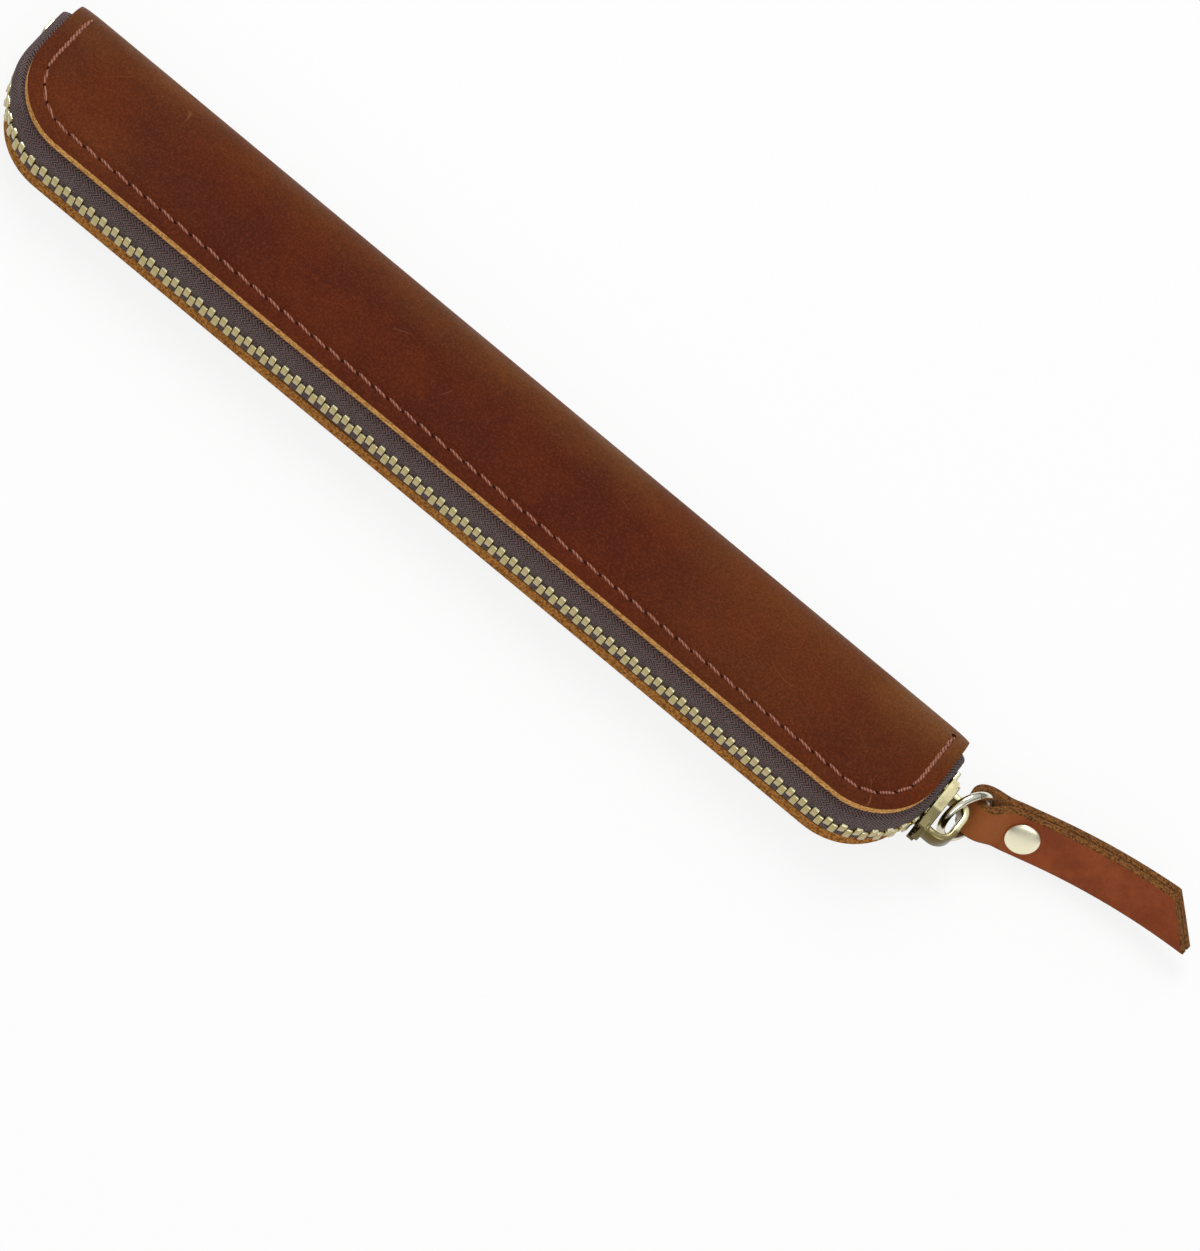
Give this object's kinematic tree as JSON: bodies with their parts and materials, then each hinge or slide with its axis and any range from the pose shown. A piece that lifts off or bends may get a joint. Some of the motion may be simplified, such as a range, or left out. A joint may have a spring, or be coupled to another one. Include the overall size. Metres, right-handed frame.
{
  "type": "single pen sleeve",
  "caption": "Slim folded leather pen sleeve with a brass zip round three sides, a riveted strap pull, an elastic pen loop and an inner end tab.",
  "frame": {"origin": "middle of the rear cover's outer face, at half the leather's length and half its width", "axes": "+X to the end where the closed zip's slider sits, +Y to the folded spine, +Z out of the front cover"},
  "size_m": [0.2275, 0.0307, 0.0152],
  "materials": {
    "sleeve_leather": "waxed pull-up leather, dark red-brown, tan cut edges, suede inside",
    "strap_leather": "brown leather with raw tan edges",
    "tab_leather": "smooth reddish-brown leather",
    "zip_tape": "dark brown-purple herringbone tape",
    "zip_brass": "polished pale brass",
    "slider_brass": "plated pale brass",
    "ring_metal": "polished pale silver",
    "rivet_metal": "polished pale silver-gold",
    "elastic": "ribbed black elastic with a red woven middle",
    "seam_thread": "brown-pink waxed thread"
  },
  "bodies": {
    "rear_half": {"rear_cover": "sleeve_leather", "rear_seam": "seam_thread", "rear_tape": "zip_tape", "rear_teeth": "zip_brass", "rear_top_stop": "zip_brass", "bottom_stop": "zip_brass", "pen_loop": "elastic", "loop_stitches": "seam_thread", "end_tab": "tab_leather", "tab_stitches": "seam_thread", "tab_rivet_cap": "rivet_metal", "tab_rivet_post": "rivet_metal"},
    "front_half": {"front_cover": "sleeve_leather", "front_seam": "seam_thread", "front_tape": "zip_tape", "front_teeth": "zip_brass", "front_top_stop": "zip_brass"},
    "slider": {"slider_body": "slider_brass", "slider_bail": "slider_brass"},
    "pull_ring": {"pull_ring": "ring_metal"},
    "pull_strap": {"pull_strap": "strap_leather", "strap_rivet_cap": "rivet_metal", "strap_rivet_post": "rivet_metal"}
  },
  "joints": [
    {"name": "cover_open", "type": "hinge", "parent": "rear_half", "child": "front_half", "pos_m": [0, 0.01225, 0.0076], "axis": [-1, 0, 0], "range_deg": [0, 60], "deforming": ["front_tape", "front_teeth", "front_top_stop"]},
    {"name": "slider_run", "type": "hinge", "parent": "rear_half", "child": "slider", "pos_m": [0.077, -0.00025, 0.0076], "axis": [0, 0, 1], "range_deg": [-90, 0], "deforming": ["front_teeth", "rear_teeth"]},
    {"name": "ring_swing", "type": "hinge", "parent": "slider", "child": "pull_ring", "pos_m": [0.0935, -0.00025, 0.0076], "axis": [-0.1373, 0.449, 0.8829], "range_deg": [-70, 10]},
    {"name": "strap_swing", "type": "hinge", "parent": "pull_ring", "child": "pull_strap", "pos_m": [0.09826, 0.00694, 0.00469], "axis": [-0.1373, 0.449, 0.8829], "range_deg": [-20, 20]}
  ]
}
